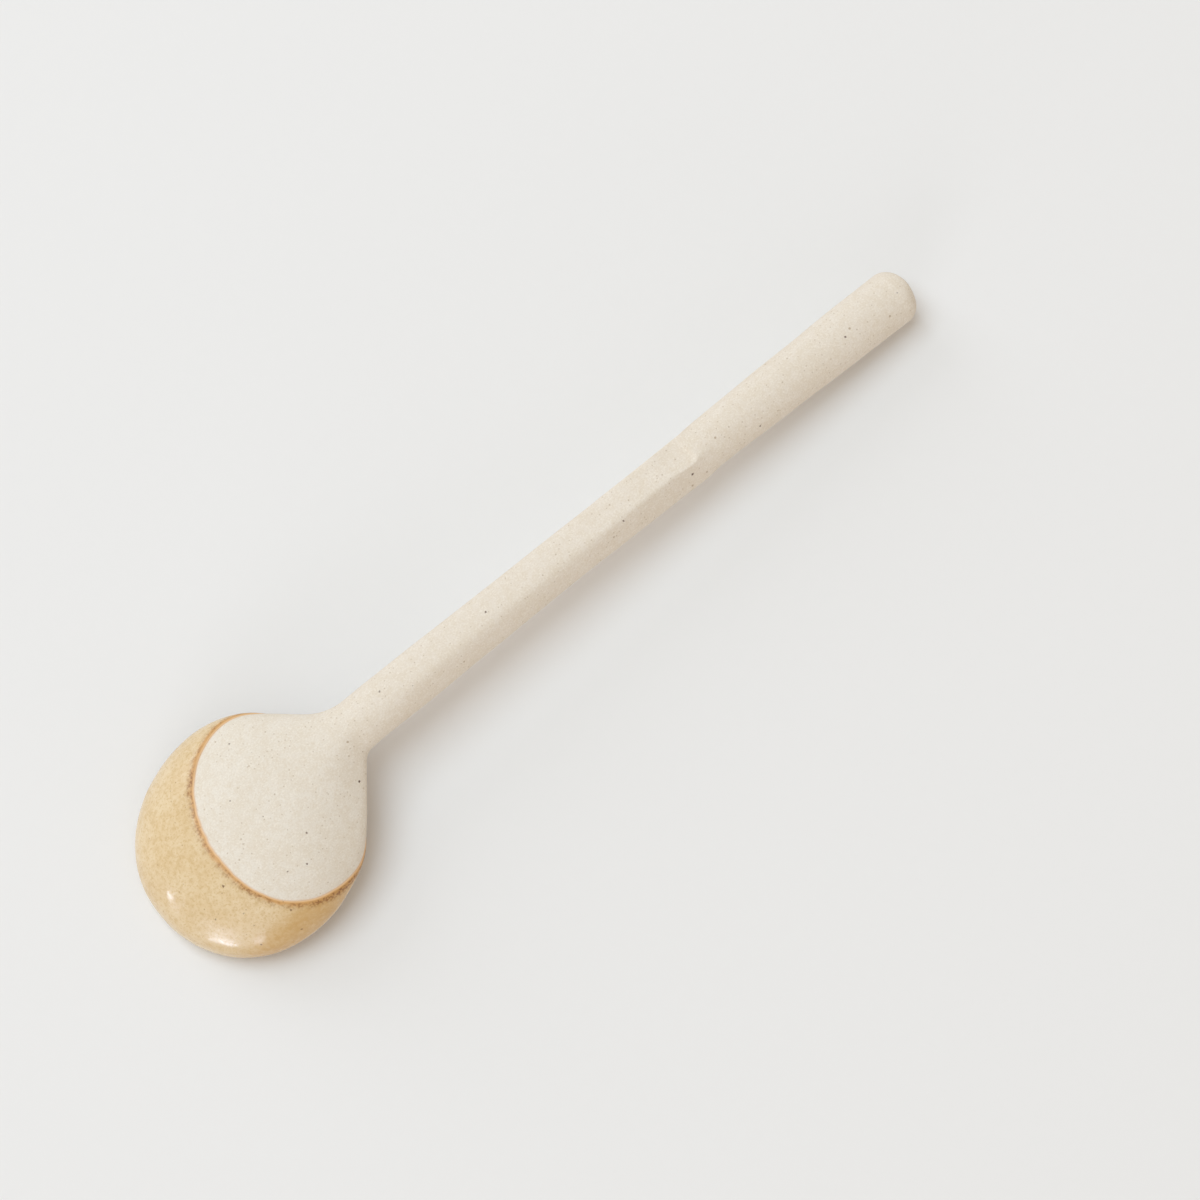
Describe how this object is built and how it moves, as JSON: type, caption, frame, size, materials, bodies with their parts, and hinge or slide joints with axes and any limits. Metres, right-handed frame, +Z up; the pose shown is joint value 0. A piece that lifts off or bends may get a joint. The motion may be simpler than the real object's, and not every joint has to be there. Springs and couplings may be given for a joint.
{
  "type": "spoon",
  "caption": "Hand-built stoneware spoon with a deep round bowl on a slim shaved stick handle; the bowl is dipped in honey-coloured glaze and the rest is bare matt clay.",
  "frame": {"origin": "on the table under the middle of the spoon's bounding box, with the spoon lying face down as pictured", "axes": "+X from the bowl's tip to the handle's cut end, +Z up out of the table on the side of the bowl's back, +Y to the left when looking from the bowl's tip along +X"},
  "size_m": [0.1604, 0.0374, 0.0167],
  "materials": {
    "stoneware": "bare matt stoneware, cream, with fine sandy grain and sparse dark iron specks",
    "honey_glaze": "semi-gloss honey glaze, finely mottled, with an orange line at the dip edge"
  },
  "bodies": {
    "root": {"handle": "stoneware", "slip_joint": "stoneware", "bowl": "stoneware", "glaze_coat": "honey_glaze"}
  },
  "joints": []
}
